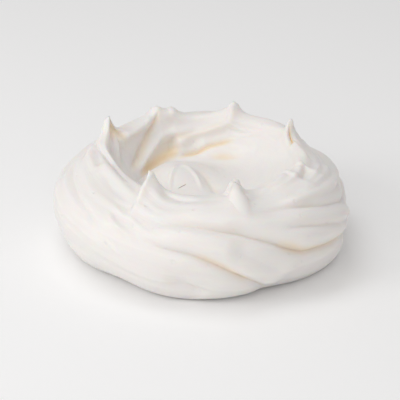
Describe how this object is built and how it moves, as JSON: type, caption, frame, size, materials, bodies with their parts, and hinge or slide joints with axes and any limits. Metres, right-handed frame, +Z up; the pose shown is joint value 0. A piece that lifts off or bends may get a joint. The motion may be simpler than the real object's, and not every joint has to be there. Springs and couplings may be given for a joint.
{
  "type": "meringue cookie",
  "caption": "Baked meringue cookie swirled into a small round nest with pulled tips on its rim and a low mound in its hollow.",
  "frame": {"origin": "middle of the bounding box of the flat underside", "axes": "+Z up out of the nest's hollow, -Y towards the lower side of the rim, +X towards the widest part of the foot"},
  "size_m": [0.0782, 0.0766, 0.0315],
  "materials": {
    "meringue": "dry baked sugar and egg white, half glossy with matt patches"
  },
  "bodies": {
    "root": {"meringue": "meringue"}
  },
  "joints": []
}
